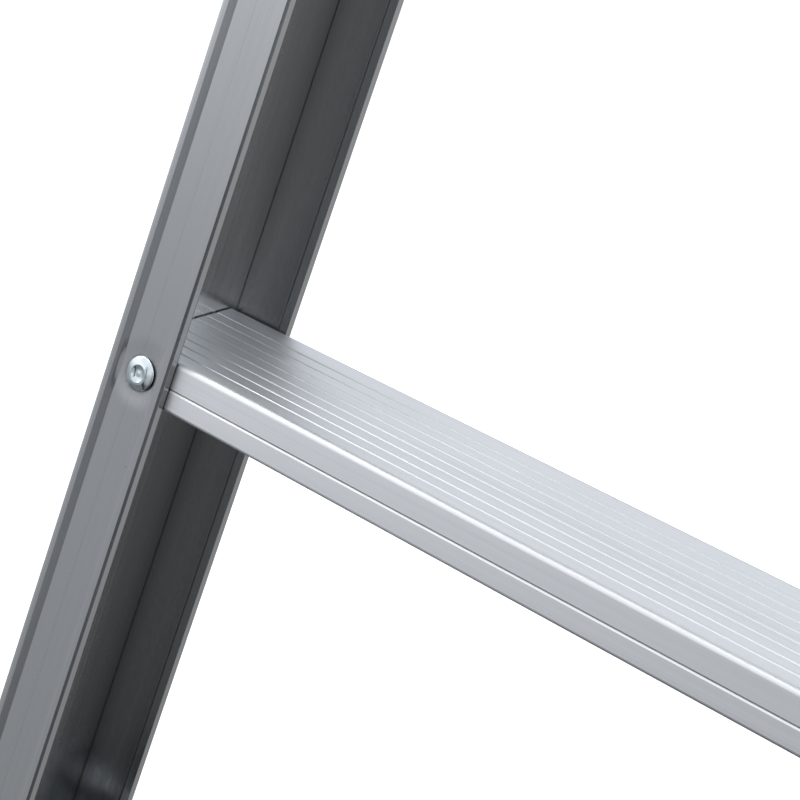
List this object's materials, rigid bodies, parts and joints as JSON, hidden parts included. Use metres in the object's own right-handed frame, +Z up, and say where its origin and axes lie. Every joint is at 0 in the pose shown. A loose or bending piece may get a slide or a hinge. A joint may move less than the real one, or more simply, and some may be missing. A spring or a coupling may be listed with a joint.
{
  "type": "extension ladder",
  "caption": "Two-section push-up extension ladder with channel rails, ribbed flat treads, guide brackets, folding rung hooks and swivel shoes.",
  "frame": {"origin": "on the floor, midway between the rails and midway between the base and fly sections, at the centre of the upright, closed ladder's bounding box", "axes": "+Z up along the rails, +X across the ladder to the climber's right, +Y away from the climber towards the wall; the base section is on +Y, the fly section on -Y"},
  "size_m": [0.4706, 0.1624, 2.394],
  "materials": {
    "rail_aluminium": "mill finish extrusion, fine lengthwise lines",
    "tread_aluminium": "mill finish extrusion, ribbed tread",
    "zinc_rivet": "bright zinc plate",
    "guide_steel": "zinc plated pressed steel",
    "liner_plastic": "moulded nylon",
    "plated_fastener": "bright zinc plate",
    "cap_plastic": "moulded polypropylene",
    "stop_aluminium": "cut and tumbled block",
    "pad_rubber": "moulded rubber",
    "shoe_steel": "zinc plated pressed steel",
    "lock_casting": "die cast, satin",
    "hook_steel": "zinc plated"
  },
  "bodies": {
    "base": {"base_front_rivets": "zinc_rivet", "base_guide_bolts": "plated_fastener", "base_guide_bracket_left": "guide_steel", "base_guide_bracket_right": "guide_steel", "base_guide_liner_left": "liner_plastic", "base_guide_liner_right": "liner_plastic", "base_guide_nuts": "plated_fastener", "base_rail_left": "rail_aluminium", "base_rail_right": "rail_aluminium", "base_rear_rivets": "zinc_rivet", "base_top_cap_left": "cap_plastic", "base_top_cap_right": "cap_plastic", "base_tread_1": "tread_aluminium", "base_tread_2": "tread_aluminium", "base_tread_3": "tread_aluminium", "base_tread_4": "tread_aluminium", "base_tread_5": "tread_aluminium", "base_tread_6": "tread_aluminium", "base_tread_7": "tread_aluminium", "lower_stop_left": "stop_aluminium", "lower_stop_right": "stop_aluminium", "shoe_pivot_bolts": "plated_fastener", "shoe_pivot_nuts": "plated_fastener", "shoe_spacers": "plated_fastener", "stop_rivets": "zinc_rivet", "upper_stop_left": "stop_aluminium", "upper_stop_right": "stop_aluminium"},
    "fly": {"fly_bottom_cap_left": "cap_plastic", "fly_bottom_cap_right": "cap_plastic", "fly_front_rivets": "zinc_rivet", "fly_guide_bolts": "plated_fastener", "fly_guide_bracket_left": "guide_steel", "fly_guide_bracket_right": "guide_steel", "fly_guide_liner_left": "liner_plastic", "fly_guide_liner_right": "liner_plastic", "fly_guide_nuts": "plated_fastener", "fly_rail_left": "rail_aluminium", "fly_rail_right": "rail_aluminium", "fly_rear_rivets": "zinc_rivet", "fly_top_cap_left": "cap_plastic", "fly_top_cap_right": "cap_plastic", "fly_tread_1": "tread_aluminium", "fly_tread_2": "tread_aluminium", "fly_tread_3": "tread_aluminium", "fly_tread_4": "tread_aluminium", "fly_tread_5": "tread_aluminium", "fly_tread_6": "tread_aluminium", "fly_tread_7": "tread_aluminium", "lock_bracket_left": "lock_casting", "lock_bracket_right": "lock_casting", "lock_pins": "plated_fastener", "lock_rivets": "zinc_rivet"},
    "hook_left": {"lock_hook_left": "hook_steel"},
    "hook_right": {"lock_hook_right": "hook_steel"},
    "shoe_left": {"shoe_left": "shoe_steel", "shoe_pad_left": "pad_rubber"},
    "shoe_right": {"shoe_pad_right": "pad_rubber", "shoe_right": "shoe_steel"}
  },
  "joints": [
    {"name": "fly_slide", "type": "slide", "parent": "base", "child": "fly", "axis": [0, 0, 1], "range_m": [0, 0.84]},
    {"name": "hook_left_fold", "type": "hinge", "parent": "fly", "child": "hook_left", "pos_m": [-0.1878, -0.02, 0.61], "axis": [-1, 0, 0], "range_deg": [0, 120]},
    {"name": "hook_right_fold", "type": "hinge", "parent": "fly", "child": "hook_right", "pos_m": [0.1878, -0.02, 0.61], "axis": [-1, 0, 0], "range_deg": [0, 120]},
    {"name": "shoe_left_swivel", "type": "hinge", "parent": "base", "child": "shoe_left", "pos_m": [-0.2095, 0.0395, 0.058], "axis": [1, 0, 0], "range_deg": [-30, 75]},
    {"name": "shoe_right_swivel", "type": "hinge", "parent": "base", "child": "shoe_right", "pos_m": [0.2095, 0.0395, 0.058], "axis": [1, 0, 0], "range_deg": [-30, 75]}
  ]
}
